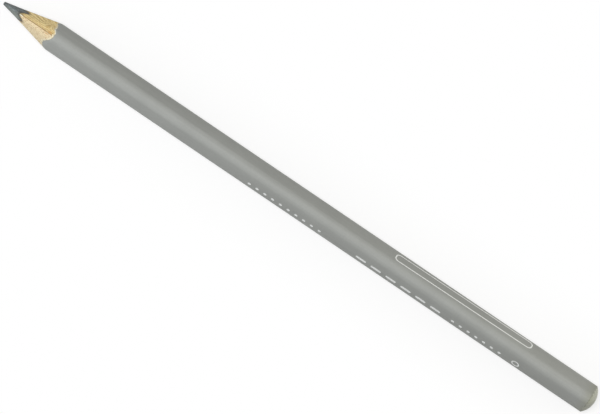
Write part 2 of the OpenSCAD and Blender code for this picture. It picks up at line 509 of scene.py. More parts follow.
def groundWood(wood):
    material = bpy.data.materials.new(wood["name"])
    tree = emptyTree(material)
    place = addNode(tree, "ShaderNodeTexCoord").outputs["Object"]
    # Places in millimetres from the heart line, the knot and the resin
    ringPlace = addNode(tree, "ShaderNodeMapping", {
        "Vector": place,
        "Location": [mm * value for value in wood["ringPlace"]],
        "Rotation": np.radians(wood["ringTurn"]),
        "Scale": (bothWoods["heartStretch"], mm, mm),
    }, vector_type="TEXTURE")
    fromHeart = addNode(tree, "ShaderNodeVectorMath", {0: ringPlace.outputs["Vector"]}, operation="LENGTH")
    knotPlace = addNode(tree, "ShaderNodeMapping", {
        "Vector": place, "Location": [mm * value for value in wood["knot"]], "Scale": (mm, mm, mm),
    }, vector_type="TEXTURE")
    fromKnot = addNode(tree, "ShaderNodeVectorMath", {0: knotPlace.outputs["Vector"]}, operation="LENGTH")
    resinLong, resinWide = wood["resinReach"]
    resinPlace = addNode(tree, "ShaderNodeMapping", {
        "Vector": place,
        "Location": [mm * value for value in wood["resin"]],
        "Scale": (resinLong * mm, resinWide * mm, mm),
    }, vector_type="TEXTURE")
    fromResin = addNode(tree, "ShaderNodeVectorMath", {0: resinPlace.outputs["Vector"]}, operation="LENGTH")
    # Rings: the distance from the heart line, pushed out round the knot and a little uneven, counted
    # in ring widths; each ring darkens outwards and ends sharply
    lift = addNode(tree, "ShaderNodeMapRange", {
        "Value": fromKnot.outputs["Value"],
        "From Max": wood["knotReach"],
        "To Min": wood["knotLift"],
        "To Max": 0,
    }, interpolation_type="SMOOTHSTEP")
    along, across = bothWoods["ringUnevenness"]
    unevenPlace = addNode(tree, "ShaderNodeMapping", {
        "Vector": place, "Scale": (1 / (along * mm), 1 / (across * mm), 1 / (across * mm)),
    })
    unevenRings = addNode(tree, "ShaderNodeTexNoise", {
        "Vector": unevenPlace.outputs["Vector"], "Scale": 1, "Detail": 2,
    })
    wobble = addNode(tree, "ShaderNodeMath", {
        0: unevenRings.outputs["Fac"], 1: wood["ringWobble"], 2: lift.outputs["Result"],
    }, operation="MULTIPLY_ADD")
    pushed = addNode(tree, "ShaderNodeMath", {
        0: fromHeart.outputs["Value"], 1: wobble.outputs[0],
    }, operation="ADD")
    ringCount = addNode(tree, "ShaderNodeMath", {
        0: pushed.outputs[0], 1: wood["ringWidth"],
    }, operation="DIVIDE")
    inRing = addNode(tree, "ShaderNodeMath", {0: ringCount.outputs[0]}, operation="FRACT")
    lateWood = addNode(tree, "ShaderNodeMapRange", {
        "Value": inRing.outputs[0], "From Min": bothWoods["lateStart"], "From Max": 1,
    }, interpolation_type="SMOOTHSTEP")
    along, across = wood["fibreSize"]
    fibrePlace = addNode(tree, "ShaderNodeMapping", {
        "Vector": place, "Scale": (1 / (along * mm), 1 / (across * mm), 1 / (across * mm)),
    })
    fibres = addNode(tree, "ShaderNodeTexNoise", {
        "Vector": fibrePlace.outputs["Vector"], "Scale": 1, "Detail": 3,
    })
    paleLevel, fullLevel = bothWoods["lateLevels"]
    lateShare = addNode(tree, "ShaderNodeMapRange", {
        "Value": fibres.outputs["Fac"],
        "From Min": paleLevel,
        "From Max": fullLevel,
        "To Min": bothWoods["lateLeast"],
        "To Max": 1,
    })
    ringShade = addNode(tree, "ShaderNodeMath", {
        0: lateWood.outputs["Result"], 1: lateShare.outputs["Result"],
    }, operation="MULTIPLY")
    ringTone = addNode(tree, "ShaderNodeMix", {
        mixFactor: ringShade.outputs[0],
        mixA: linear(wood["early"]),
        mixB: linear(wood["late"]),
    }, data_type="RGBA")
    startLevel, fullLevel = bothWoods["fibreLevels"]
    fibreShade = addNode(tree, "ShaderNodeMapRange", {
        "Value": fibres.outputs["Fac"],
        "From Min": startLevel,
        "From Max": fullLevel,
        "To Max": wood["fibreShare"],
    })
    fibreTone = addNode(tree, "ShaderNodeMix", {
        mixFactor: fibreShade.outputs["Result"],
        mixA: ringTone.outputs[mixResult],
        mixB: linear(wood["fibre"]),
    }, data_type="RGBA")
    along, across = wood["poreSize"]
    porePlace = addNode(tree, "ShaderNodeMapping", {
        "Vector": place, "Scale": (1 / (along * mm), 1 / (across * mm), 1 / (across * mm)),
    })
    pores = addNode(tree, "ShaderNodeTexNoise", {
        "Vector": porePlace.outputs["Vector"], "Scale": 1, "Detail": 1,
    })
    startLevel, fullLevel = bothWoods["poreLevels"]
    poreShade = addNode(tree, "ShaderNodeMapRange", {
        "Value": pores.outputs["Fac"],
        "From Min": startLevel,
        "From Max": fullLevel,
        "To Max": wood["poreShare"],
    })
    poreTone = addNode(tree, "ShaderNodeMix", {
        mixFactor: poreShade.outputs["Result"],
        mixA: fibreTone.outputs[mixResult],
        mixB: linear(wood["pore"]),
    }, data_type="RGBA")
    # Glue that soaked in from the parting plane: a dark blotted line, and a thin even tint past it
    split = addNode(tree, "ShaderNodeSeparateXYZ", {"Vector": place})
    fromPlane = addNode(tree, "ShaderNodeMath", {0: split.outputs["Y"]}, operation="ABSOLUTE")
    soaked = addNode(tree, "ShaderNodeMapRange", {
        "Value": fromPlane.outputs[0],
        "From Min": halfFilm,
        "From Max": wood["stainWidth"] * mm,
        "To Min": bothWoods["stainShare"],
        "To Max": 0,
    })
    soakedThinly = addNode(tree, "ShaderNodeMapRange", {
        "Value": fromPlane.outputs[0],
        "From Min": halfFilm,
        "From Max": wood["soakWidth"] * mm,
        "To Min": wood["soakShare"],
        "To Max": 0,
    })
    uneven = addNode(tree, "ShaderNodeTexNoise", {
        "Vector": place, "Scale": 1 / (bothWoods["blots"] * mm), "Detail": 2,
    })
    goneLevel, fullLevel = bothWoods["blotLevels"]
    blots = addNode(tree, "ShaderNodeMapRange", {
        "Value": uneven.outputs["Fac"], "From Min": goneLevel, "From Max": fullLevel,
    })
    stained = addNode(tree, "ShaderNodeMath", {
        0: soaked.outputs["Result"], 1: blots.outputs["Result"],
    }, operation="MULTIPLY")
    stainShade = addNode(tree, "ShaderNodeMath", {
        0: stained.outputs[0], 1: soakedThinly.outputs["Result"],
    }, operation="MAXIMUM")
    stainTone = addNode(tree, "ShaderNodeMix", {
        mixFactor: stainShade.outputs[0],
        mixA: poreTone.outputs[mixResult],
        mixB: linear(wood["stain"]),
    }, data_type="RGBA")
    resinShare = addNode(tree, "ShaderNodeMapRange", {
        "Value": fromResin.outputs["Value"],
        "From Min": bothWoods["resinStart"],
        "From Max": 1,
        "To Min": bothWoods["resinShare"],
        "To Max": 0,
    })
    resinTone = addNode(tree, "ShaderNodeMix", {
        mixFactor: resinShare.outputs["Result"],
        mixA: stainTone.outputs[mixResult],
        mixB: linear(wood["resinColour"]),
    }, data_type="RGBA")
    # The smudge: near the axis, or near a line beside it to which the pigment was dragged
    fromAxis = addNode(tree, "ShaderNodeMapping", {
        "Vector": place, "Location": (0, 0, -axisHeight), "Scale": (0, 1, 1),
    })
    reach = addNode(tree, "ShaderNodeVectorMath", {0: fromAxis.outputs["Vector"]}, operation="LENGTH")
    dragAcross, dragUp = smudge["drag"]
    fromDragged = addNode(tree, "ShaderNodeMapping", {
        "Vector": place, "Location": (0, -dragAcross * mm, -axisHeight - dragUp * mm), "Scale": (0, 1, 1),
    })
    draggedReach = addNode(tree, "ShaderNodeVectorMath", {
        0: fromDragged.outputs["Vector"],
    }, operation="LENGTH")
    nearest = addNode(tree, "ShaderNodeMath", {
        0: reach.outputs["Value"], 1: draggedReach.outputs["Value"],
    }, operation="MINIMUM")
    unevenReach = addNode(tree, "ShaderNodeMath", {
        0: fibres.outputs["Fac"], 1: smudge["unevenness"] * mm, 2: nearest.outputs[0],
    }, operation="MULTIPLY_ADD")
    smudgeStart, smudgeEnd = smudge["reach"]
    smudgeShare = addNode(tree, "ShaderNodeMapRange", {
        "Value": unevenReach.outputs[0],
        "From Min": smudgeStart * mm,
        "From Max": smudgeEnd * mm,
        "To Min": smudge["share"],
        "To Max": 0,
    })
    tone = addNode(tree, "ShaderNodeMix", {
        mixFactor: smudgeShare.outputs["Result"],
        mixA: resinTone.outputs[mixResult],
        mixB: linear(smudge["colour"]),
    }, data_type="RGBA")
    bump = addNode(tree, "ShaderNodeBump", {
        "Height": fibres.outputs["Fac"],
        "Strength": bothWoods["fibreRelief"],
        "Distance": bothWoods["fibreHeight"] * mm,
    })
    shader = addNode(tree, "ShaderNodeBsdfPrincipled", {
        "Base Color": tone.outputs[mixResult],
        "Roughness": bothWoods["roughness"],
        "IOR": bothWoods["ior"],
        "Normal": bump.outputs["Normal"],
    })
    addNode(tree, "ShaderNodeOutputMaterial", {"Surface": shader.outputs["BSDF"]})
    return material


# Dried white wood glue: cream where it fills the lips of the groove over the core, grey with rubbed
# pigment round the core, and a thin brown stained line where the slats were pressed together.
glueFinish = {
    "cream": "#e8e9d8",
    "amber": "#a08f67",
    "stain": "#8a6230",
    "rubbed": "#4b4a42",  # pigment rubbed into the film round the core
    "rubbedReach": (1.44, 1.48),  # from the axis, where that fades out
    "creamReach": 1.66,  # from the axis
    "creamFade": 0.2,  # past that reach
    "creamPlace": -0.14,  # its middle, off the parting plane
    "creamWidth": 0.12,  # to each side of its middle
    "creamStart": 0.6,  # share of that width where it starts to fade
    "blots": 1.6,
    "blotLevels": (0.4, 0.62),  # of their noise, where the joint is amber and stained
    "roughness": 0.45,
    "ior": 1.47,
}


def driedGlue():
    finish = glueFinish
    material = bpy.data.materials.new("woodGlueDriedInJoint")
    tree = emptyTree(material)
    place = addNode(tree, "ShaderNodeTexCoord").outputs["Object"]
    fromAxis = addNode(tree, "ShaderNodeMapping", {
        "Vector": place, "Location": (0, 0, axisHeight), "Scale": (mm, mm, mm),
    }, vector_type="TEXTURE")
    split = addNode(tree, "ShaderNodeSeparateXYZ", {"Vector": fromAxis.outputs["Vector"]})
    offset = addNode(tree, "ShaderNodeMath", {
        0: split.outputs["Y"], 1: finish["creamPlace"],
    }, operation="SUBTRACT")
    sideways = addNode(tree, "ShaderNodeMath", {0: offset.outputs[0]}, operation="ABSOLUTE")
    nearPlane = addNode(tree, "ShaderNodeMapRange", {
        "Value": sideways.outputs[0],
        "From Min": finish["creamWidth"] * finish["creamStart"],
        "From Max": finish["creamWidth"],
        "To Min": 1,
        "To Max": 0,
    })
    nearCore = addNode(tree, "ShaderNodeMapRange", {
        "Value": split.outputs["Z"],
        "From Min": finish["creamReach"],
        "From Max": finish["creamReach"] + finish["creamFade"],
        "To Min": 1,
        "To Max": 0,
    })
    blots = addNode(tree, "ShaderNodeTexNoise", {
        "Vector": fromAxis.outputs["Vector"], "Scale": 1 / finish["blots"], "Detail": 2,
    })
    amberLevel, stainLevel = finish["blotLevels"]
    blotShare = addNode(tree, "ShaderNodeMapRange", {
        "Value": blots.outputs["Fac"], "From Min": amberLevel, "From Max": stainLevel,
    })
    joint = addNode(tree, "ShaderNodeMix", {
        mixFactor: blotShare.outputs["Result"],
        mixA: linear(finish["amber"]),
        mixB: linear(finish["stain"]),
    }, data_type="RGBA")
    creamShare = addNode(tree, "ShaderNodeMath", {
        0: nearPlane.outputs["Result"], 1: nearCore.outputs["Result"],
    }, operation="MULTIPLY")
    filled = addNode(tree, "ShaderNodeMix", {
        mixFactor: creamShare.outputs[0],
        mixA: joint.outputs[mixResult],
        mixB: linear(finish["cream"]),
    }, data_type="RGBA")
    sectionPlace = addNode(tree, "ShaderNodeVectorMath", {
        0: fromAxis.outputs["Vector"], 1: (0, 1, 1),
    }, operation="MULTIPLY")
    reach = addNode(tree, "ShaderNodeVectorMath", {0: sectionPlace.outputs["Vector"]}, operation="LENGTH")
    rubbedStart, rubbedEnd = finish["rubbedReach"]
    cleanShare = addNode(tree, "ShaderNodeMapRange", {
        "Value": reach.outputs["Value"], "From Min": rubbedStart, "From Max": rubbedEnd,
    })
    tone = addNode(tree, "ShaderNodeMix", {
        mixFactor: cleanShare.outputs["Result"],
        mixA: linear(finish["rubbed"]),
        mixB: filled.outputs[mixResult],
    }, data_type="RGBA")
    shader = addNode(tree, "ShaderNodeBsdfPrincipled", {
        "Base Color": tone.outputs[mixResult], "Roughness": finish["roughness"], "IOR": finish["ior"],
    })
    addNode(tree, "ShaderNodeOutputMaterial", {"Surface": shader.outputs["BSDF"]})
    return material


# Wax-bound pigment core, ground to a point: a blue-grey with a dull waxy light on it, speckled by
# grains of pigment and clay, and scored along the grinding. Light and shade are painted on it: a paler
# -Y side as painted sheen, and a darker +Y side, darker flanks near the tip and a dark rim as painted
# shade. It is also darker towards its blunt end.
coreFinish = {
    "grey": "#6a7274",
    "dark": "#363c3d",
    "pale": "#8a9189",
    "grains": 0.22,  # real grains are finer, and are drawn this coarse so that they show
    "grainLevels": (0.53, 0.68),  # of their noise, where pale grains start and are full
    "grainShare": 0.85,
    "scores": (2.5, 0.16),  # along and across, drawn coarse so that they show
    "scoreLevels": (0.42, 0.7),  # of their noise, where dark scores start and are full
    "scoreShare": 0.9,
    "scoreHeight": 0.03,
    "scoreRelief": 0.7,
    "paintedSheen": (-0.15, -0.7),  # where the painted sheen on the -Y side starts and ends, across
    "paintedSheenShare": 0.8,
    "paintedShadeSide": (0.3, 1.1),  # where the painted shade on the +Y side starts and ends, across
    "paintedShadeSideShare": 0.2,
    "corners": (0.62, 0.97),  # where painted shade on the flanks starts and is full, as cosines from straight sideways
    "flankShadeReach": (3, 5.5),  # where that painted shade starts to fade and is gone, from the tip
    "flankShadeShare": 0.45,
    "end": (0, 1.6),  # where the darker blunt end starts to fade and is gone, from the tip
    "endShare": 0.5,
    "rim": (1.2, 1.4),  # where the painted shade along the rim starts and ends, from the axis
    "rimShadeShare": 0.85,
    "rimShadeColour": "#3d3a30",  # a brown painted shade along the rim, where the core meets the glue
    "roughness": 0.42,
    "ior": 1.5,
}


def waxCore():
    finish = coreFinish
    material = bpy.data.materials.new("waxPigmentGround")
    tree = emptyTree(material)
    place = addNode(tree, "ShaderNodeTexCoord").outputs["Object"]
    grains = addNode(tree, "ShaderNodeTexNoise", {
        "Vector": place, "Scale": 1 / (finish["grains"] * mm), "Detail": 3,
    })
    along, across = finish["scores"]
    scorePlace = addNode(tree, "ShaderNodeMapping", {
        "Vector": place, "Scale": (1 / (along * mm), 1 / (across * mm), 1 / (across * mm)),
    })
    scores = addNode(tree, "ShaderNodeTexNoise", {
        "Vector": scorePlace.outputs["Vector"], "Scale": 1, "Detail": 2,
    })
    startLevel, fullLevel = finish["scoreLevels"]
    darkShare = addNode(tree, "ShaderNodeMapRange", {
        "Value": scores.outputs["Fac"],
        "From Min": startLevel,
        "From Max": fullLevel,
        "To Max": finish["scoreShare"],
    })
    scored = addNode(tree, "ShaderNodeMix", {
        mixFactor: darkShare.outputs["Result"],
        mixA: linear(finish["grey"]),
        mixB: linear(finish["dark"]),
    }, data_type="RGBA")
    startLevel, fullLevel = finish["grainLevels"]
    paleShare = addNode(tree, "ShaderNodeMapRange", {
        "Value": grains.outputs["Fac"],
        "From Min": startLevel,
        "From Max": fullLevel,
        "To Max": finish["grainShare"],
    })
    grained = addNode(tree, "ShaderNodeMix", {
        mixFactor: paleShare.outputs["Result"],
        mixA: scored.outputs[mixResult],
        mixB: linear(finish["pale"]),
    }, data_type="RGBA")
    split = addNode(tree, "ShaderNodeSeparateXYZ", {"Vector": place})
    # Painted sheen: the -Y side of the core is mixed paler
    sheenStart, sheenEnd = finish["paintedSheen"]
    paintedSheenShare = addNode(tree, "ShaderNodeMapRange", {
        "Value": split.outputs["Y"],
        "From Min": sheenStart * mm,
        "From Max": sheenEnd * mm,
        "To Max": finish["paintedSheenShare"],
    })
    paintedSheen = addNode(tree, "ShaderNodeMix", {
        mixFactor: paintedSheenShare.outputs["Result"],
        mixA: grained.outputs[mixResult],
        mixB: linear(finish["pale"]),
    }, data_type="RGBA")
    # Painted shade: the +Y side of the core is mixed darker
    shadeSideStart, shadeSideEnd = finish["paintedShadeSide"]
    paintedShadeSideShare = addNode(tree, "ShaderNodeMapRange", {
        "Value": split.outputs["Y"],
        "From Min": shadeSideStart * mm,
        "From Max": shadeSideEnd * mm,
        "To Max": finish["paintedShadeSideShare"],
    })
    # Darker towards the blunt end
    endStart, endEnd = finish["end"]
    endShare = addNode(tree, "ShaderNodeMapRange", {
        "Value": split.outputs["X"],
        "From Min": tipX + endStart * mm,
        "From Max": tipX + endEnd * mm,
        "To Min": finish["endShare"],
        "To Max": 0,
    })
    fromAxis = addNode(tree, "ShaderNodeMapping", {
        "Vector": place, "Location": (0, 0, -axisHeight), "Scale": (0, 1, 1),
    })
    reach = addNode(tree, "ShaderNodeVectorMath", {0: fromAxis.outputs["Vector"]}, operation="LENGTH")
    # Painted shade: a dark brown band along the core's rim
    rimShadeStart, rimShadeEnd = finish["rim"]
    rimShadeShare = addNode(tree, "ShaderNodeMapRange", {
        "Value": reach.outputs["Value"],
        "From Min": rimShadeStart * mm,
        "From Max": rimShadeEnd * mm,
        "To Max": finish["rimShadeShare"],
    })
    # Painted shade on the flanks near the tip, where the section faces sideways
    direction = addNode(tree, "ShaderNodeVectorMath", {
        0: fromAxis.outputs["Vector"],
    }, operation="NORMALIZE")
    directionParts = addNode(tree, "ShaderNodeSeparateXYZ", {"Vector": direction.outputs["Vector"]})
    sideways = addNode(tree, "ShaderNodeMath", {0: directionParts.outputs["Y"]}, operation="ABSOLUTE")
    flankShadeStart, flankShadeFull = finish["corners"]
    onShadedFlank = addNode(tree, "ShaderNodeMapRange", {
        "Value": sideways.outputs[0], "From Min": flankShadeStart, "From Max": flankShadeFull,
    })
    flankShadeFade, flankShadeEnd = finish["flankShadeReach"]
    nearTip = addNode(tree, "ShaderNodeMapRange", {
        "Value": split.outputs["X"],
        "From Min": tipX + flankShadeFade * mm,
        "From Max": tipX + flankShadeEnd * mm,
        "To Min": finish["flankShadeShare"],
        "To Max": 0,
    })
    darkest = addNode(tree, "ShaderNodeMath", {
        0: paintedShadeSideShare.outputs["Result"], 1: endShare.outputs["Result"],
    }, operation="MAXIMUM")
    shadeAndDarkEndShare = addNode(tree, "ShaderNodeMath", {
        0: onShadedFlank.outputs["Result"], 1: nearTip.outputs["Result"], 2: darkest.outputs[0],
    }, operation="MULTIPLY_ADD")
    # Mixes in the painted shade on the +Y side and the flanks, and the darker blunt end
    rubbed = addNode(tree, "ShaderNodeMix", {
        mixFactor: shadeAndDarkEndShare.outputs[0],
        mixA: paintedSheen.outputs[mixResult],
        mixB: linear(finish["dark"]),
    }, data_type="RGBA")
    tone = addNode(tree, "ShaderNodeMix", {
        mixFactor: rimShadeShare.outputs["Result"],
        mixA: rubbed.outputs[mixResult],
        mixB: linear(finish["rimShadeColour"]),
    }, data_type="RGBA")
    bump = addNode(tree, "ShaderNodeBump", {
        "Height": scores.outputs["Fac"],
        "Strength": finish["scoreRelief"],
        "Distance": finish["scoreHeight"] * mm,
    })
    shader = addNode(tree, "ShaderNodeBsdfPrincipled", {
        "Base Color": tone.outputs[mixResult],
        "Roughness": finish["roughness"],
        "IOR": finish["ior"],
        "Normal": bump.outputs["Normal"],
    })
    addNode(tree, "ShaderNodeOutputMaterial", {"Surface": shader.outputs["BSDF"]})
    return material


# Dip lacquer on the tail: the pencil was dipped, so it is thicker, glossier and a little yellower than the
# barrel, with soft clouds where the lacquer drew together. Light and shade are painted across it: paler
# towards +Y, darker and yellower towards -Y.
dipFinish = {
    "grey": "#c9ccbd",
    "yellowGrey": "#aeb09f",
    "clouds": 1.1,  # their size
    "cloudStrength": 2.2,  # how much they shift the tone between the two greys, up and down alike
    "cloudHeight": 0.03,
    "paintedShadeAcross": (2.2, -2.6),  # across, from the painted light on its +Y side to the painted shade on its -Y side
    "bead": "#7d7f70",  # the edge where the lacquer ended and dried thick
    "beadReach": (0.05, 0.35),  # from the shoulder, where it starts to fade and is gone
    "beadShare": 0.85,
    "beadLevels": (0.4, 0.58),  # of the clouds' noise, where it is broken off and whole
    "roughness": 0.38,
    "ior": 1.5,
    "shine": 0.3,
}


def dipLacquer():
    finish = dipFinish
    material = bpy.data.materials.new("dipLacquerPaintedShade")
    tree = emptyTree(material)
    place = addNode(tree, "ShaderNodeTexCoord").outputs["Object"]
    clouds = addNode(tree, "ShaderNodeTexNoise", {
        "Vector": place, "Scale": 1 / (finish["clouds"] * mm), "Detail": 3,
    })
    split = addNode(tree, "ShaderNodeSeparateXYZ", {"Vector": place})
    # Painted light and shade: paler towards +Y, darker towards -Y
    litSide, shadedSide = finish["paintedShadeAcross"]
    shadedAcross = addNode(tree, "ShaderNodeMapRange", {
        "Value": split.outputs["Y"], "From Min": litSide * mm, "From Max": shadedSide * mm,
    })
    cloudy = addNode(tree, "ShaderNodeMath", {
        0: clouds.outputs["Fac"], 1: finish["cloudStrength"], 2: -finish["cloudStrength"] / 2,
    }, operation="MULTIPLY_ADD")
    # The painted light and shade across the dome, shifted by the clouds
    thickness = addNode(tree, "ShaderNodeMath", {
        0: shadedAcross.outputs["Result"], 1: cloudy.outputs[0],
    }, operation="ADD", use_clamp=True)
    shadedTone = addNode(tree, "ShaderNodeMix", {
        mixFactor: thickness.outputs[0],
        mixA: linear(finish["grey"]),
        mixB: linear(finish["yellowGrey"]),
    }, data_type="RGBA")
    beadStart, beadEnd = finish["beadReach"]
    beadShare = addNode(tree, "ShaderNodeMapRange", {
        "Value": split.outputs["X"],
        "From Min": tailX + beadStart * mm,
        "From Max": tailX + beadEnd * mm,
        "To Min": finish["beadShare"],
        "To Max": 0,
    })
    brokenLevel, wholeLevel = finish["beadLevels"]
    beadBreaks = addNode(tree, "ShaderNodeMapRange", {
        "Value": clouds.outputs["Fac"], "From Min": brokenLevel, "From Max": wholeLevel,
    })
    brokenBead = addNode(tree, "ShaderNodeMath", {
        0: beadShare.outputs["Result"], 1: beadBreaks.outputs["Result"],
    }, operation="MULTIPLY")
    tone = addNode(tree, "ShaderNodeMix", {
        mixFactor: brokenBead.outputs[0],
        mixA: shadedTone.outputs[mixResult],
        mixB: linear(finish["bead"]),
    }, data_type="RGBA")
    bump = addNode(tree, "ShaderNodeBump", {
        "Height": clouds.outputs["Fac"], "Distance": finish["cloudHeight"] * mm,
    })
    shader = addNode(tree, "ShaderNodeBsdfPrincipled", {
        "Base Color": tone.outputs[mixResult],
        "Roughness": finish["roughness"],
        "IOR": finish["ior"],
        "Specular IOR Level": finish["shine"],
        "Normal": bump.outputs["Normal"],
    })
    addNode(tree, "ShaderNodeOutputMaterial", {"Surface": shader.outputs["BSDF"]})
    return material


# White pigment foil, stamped hot into the soft coat: a thin chalky white with a few starved specks
# where the grey shows through.
foilFinish = {
    "white": "#f8faf8",
    "starved": "#d2d4d2",
    "specks": 0.3,  # their size
    "speckLevels": (0.52, 0.72),  # of their noise, where specks start and are full
    "roughness": 0.45,
    "ior": 1.5,
}


def pigmentFoil():
    finish = foilFinish
    material = bpy.data.materials.new("whitePigmentFoilStamped")
    tree = emptyTree(material)
    place = addNode(tree, "ShaderNodeTexCoord").outputs["Object"]
    specks = addNode(tree, "ShaderNodeTexNoise", {
        "Vector": place, "Scale": 1 / (finish["specks"] * mm), "Detail": 2,
    })
    startLevel, fullLevel = finish["speckLevels"]
    starvedShare = addNode(tree, "ShaderNodeMapRange", {
        "Value": specks.outputs["Fac"], "From Min": startLevel, "From Max": fullLevel,
    })
    tone = addNode(tree, "ShaderNodeMix", {
        mixFactor: starvedShare.outputs["Result"],
        mixA: linear(finish["white"]),
        mixB: linear(finish["starved"]),
    }, data_type="RGBA")
    shader = addNode(tree, "ShaderNodeBsdfPrincipled", {
        "Base Color": tone.outputs[mixResult], "Roughness": finish["roughness"], "IOR": finish["ior"],
    })
    addNode(tree, "ShaderNodeOutputMaterial", {"Surface": shader.outputs["BSDF"]})
    return material


# Depths of the layers below the barrel's surface. The coats came out thicker on one flat, and the
# grinding broke the edge of the ground coat away in small bites.
coats = {
    "thicknesses": (0.08, 0.04, 0.08),  # of the top, colour and ground coats
    "lean": 0.05,  # how much thicker all coats together are on their thick side
    "leanTo": 150,  # degrees, the direction of that side
    "leanShares": (0.25, 0.5, 1),  # of the lean, under each coat
    "bites": 0.028,  # how deep they are
    "biteWaves": (8, 13, 19, 28, 41, 58),  # round the barrel
    "biteShares": (0.3, 0.6, 1),  # of the bites, under each coat
    "seed": 5,
    "faceRows": 3,  # on the cut edge of each coat
}
topCoat, colourCoat, groundCoat = range(3)


# Distance from the axis to the inside of a coat: the section with its corners drawn in by the coats'
# depth, less a cosine for the lean and a wandering line for the bites
def coatInside(angle, coat):
    depth = sum(coats["thicknesses"][: coat + 1])
    reach = sectionReach(angle, cornerCentre, cornerRadius - depth * mm)
    lean = np.cos(angle - np.radians(coats["leanTo"])) * coats["lean"] * coats["leanShares"][coat]
    bite = wander(angle, coats["biteWaves"], coats["seed"]) * coats["bites"] * coats["biteShares"][coat]
    return reach - (lean + bite) * mm


def woodReach(angle):
    return coatInside(angle, groundCoat)


# The barrel's surface: the section, with its two upper flats crowned. Each of these is part of a wide
# arc about a centre behind the axis, and meets the corners' arcs smoothly at its two ends.
crownRise = cornerCentre / 2 + barrel["crown"] * mm
crownBehind = (cornerCentre**2 - crownRise**2) / (2 * barrel["crown"] * mm)
crownRadius = crownRise + cornerRadius + crownBehind
crownShare = crownRadius / (crownRadius - cornerRadius)
crownEndAcross = cornerCentre * np.cos(twelfthTurn) * crownShare
crownEndOut = (cornerCentre / 2 + crownBehind) * crownShare - crownBehind
crownEnd = np.arctan2(crownEndAcross, crownEndOut)


def barrelReach(angle):
    turn = turnFromFlat(angle)
    onCrown = np.sqrt(crownRadius**2 - (crownBehind * np.sin(turn)) ** 2) - crownBehind * np.cos(turn)
    upper = np.sin(angle) > -np.sin(twelfthTurn)
    crowned = (np.abs(turn) < crownEnd) & upper
    return np.where(crowned, onCrown, sectionReach(angle, cornerCentre, cornerRadius))


# Distances of the glue: a film round the core, wedges in the chamfered lips of the groove, and a
# flat film between the slats
glue = {
    "film": 0.08,  # its thickness
    "lip": 0.32,  # how wide the chamfer is, and how high
    "faceRows": 6,  # on the ground face
}
coreLow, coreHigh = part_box("core")
coreReach = (coreHigh.y - coreLow.y) / 2
grooveReach = coreReach + glue["film"] * mm
halfFilm = glue["film"] * mm / 2


# Outer side of the glue by direction: the round groove, or past it the slanted face of a lip's
# wedge, or past that the parting plane, and never beyond the wood.
def glueReach(angle):
    nearlyNothing = 1e-9  # in place of zero, because it divides
    sideways = np.maximum(np.abs(np.cos(angle)), nearlyNothing)
    upright = np.abs(np.sin(angle))
    wedge = (grooveReach + glue["lip"] * mm) / (sideways + upright)
    inWedge = upright * glue["lip"] * mm > sideways * grooveReach
    reach = np.where(inWedge, np.maximum(grooveReach, wedge), grooveReach)
    return np.minimum(np.maximum(reach, halfFilm / sideways), woodReach(angle))


# How finely a slat is divided
slats = {
    "planeColumns": 24,  # on the parting plane, above and below the core
    "lipColumns": 12,  # on each lip
    "overhang": 1.02,  # how far the last column may go past the wood, as a factor
    "faceRows": 24,  # on the ground face
}


# Directions from the lower to the upper edge of one slat, closer together at the lips and on the
# parting plane
def slatAngles():
    lipEnd = np.arctan2(grooveReach, glue["lip"] * mm)
    planeStart = np.arccos(halfFilm / (grooveReach + (glue["lip"] - glue["film"] / 2) * mm))
    planeReach = np.linspace(halfFilm / np.cos(planeStart), ridgeReach, slats["planeColumns"])
    onPlane = np.arccos(halfFilm / planeReach)
    lips = np.linspace(lipEnd, planeStart, slats["lipColumns"])
    sweep = np.linspace(-lipEnd, lipEnd, barrel["columns"] // 2)
    every = np.unique(np.concatenate([-onPlane, -lips, sweep, lips, onPlane]))
    return every[halfFilm / np.cos(every) < woodReach(every) * slats["overhang"]]


def addLayers():
    ring = np.linspace(0, wholeTurn, barrel["columns"], endpoint=False)
    rows = coats["faceRows"]
    underTop, underColour = coatInside(ring, topCoat), coatInside(ring, colourCoat)
    grid = layerGrid(ring, underTop, barrelReach(ring), rows, barrel["sideRows"])
    addPiece("topCoat", [grid], True, True, softLacquer(), "grip_coat")
    grid = layerGrid(ring, underColour, underTop, rows)
    addPiece("colourCoat", [grid], True, True, colourLacquer(), "colour_coat")
    grid = layerGrid(ring, woodReach(ring), underColour, rows)
    addPiece("groundCoat", [grid], True, True, chalkGround(), "ground_coat")
    right = slatAngles()
    grid = layerGrid(right, glueReach(right), woodReach(right), slats["faceRows"])
    addPiece("rightSlat", [grid], True, False, groundWood(yellowWood), "right_slat")
    left = halfTurn - right
    grid = layerGrid(left, glueReach(left), woodReach(left), slats["faceRows"])
    addPiece("leftSlat", [grid], True, False, groundWood(paleWood), "left_slat")
    plane = np.array([quarterTurn, 3 * quarterTurn])
    around = np.sort(np.concatenate([right, left, plane]) % wholeTurn)
    inner = np.full(len(around), coreReach)
    grid = layerGrid(around, inner, glueReach(around), glue["faceRows"])
    addPiece("glueFilm", [grid], True, True, driedGlue(), "glue_film")


addLayers()


# The core: an elliptical cap at the blunt end, the ground face up to the core's own radius, and a
# round rod from there to the tail. Use has worn the end blunter than it was ground.
core = {
    "capDepth": 0.14,
    "capSwing": 85,  # degrees of the ellipse's quarter, so that the cap runs smoothly into the face
    "wear": 0.1,  # how much wider the worn end is, to each side
    "capRows": 12,
    "faceRows": 40,
    "columns": 240,
}


